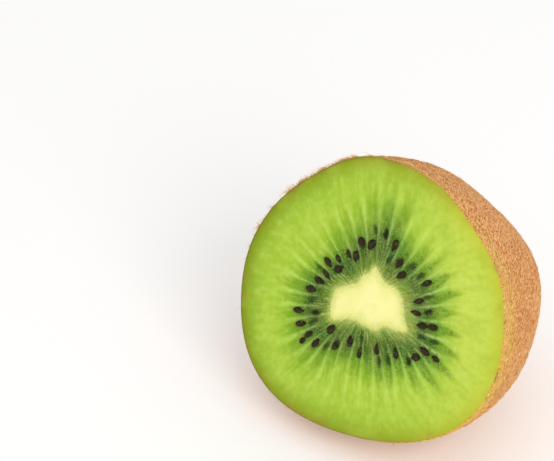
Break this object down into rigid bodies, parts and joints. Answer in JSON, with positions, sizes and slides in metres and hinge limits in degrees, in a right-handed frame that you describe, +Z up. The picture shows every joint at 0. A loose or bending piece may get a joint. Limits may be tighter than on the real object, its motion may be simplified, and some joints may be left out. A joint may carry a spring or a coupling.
{
  "type": "kiwi fruit half",
  "caption": "Half of a kiwi fruit lying on its fuzzy brown skin, with the cut face tilted up to show green flesh, a pale core and a ring of dark seeds.",
  "frame": {"origin": "on the surface that the half lies on, under the middle of its bounding box", "axes": "+X along the width of the cut face, +Y away from the cut face towards the dome's end, +Z up"},
  "size_m": [0.0518, 0.0442, 0.0484],
  "materials": {
    "flesh": "moist translucent green fruit flesh, freshly cut",
    "core": "firm pale cream fruit core, freshly cut and slightly moist",
    "skin": "thin dry brown peel",
    "fuzz": "short golden-brown hairs",
    "seed": "smooth purplish-black seeds, wet with juice"
  },
  "bodies": {
    "root": {"flesh": "flesh", "core": "core"}
  },
  "joints": []
}
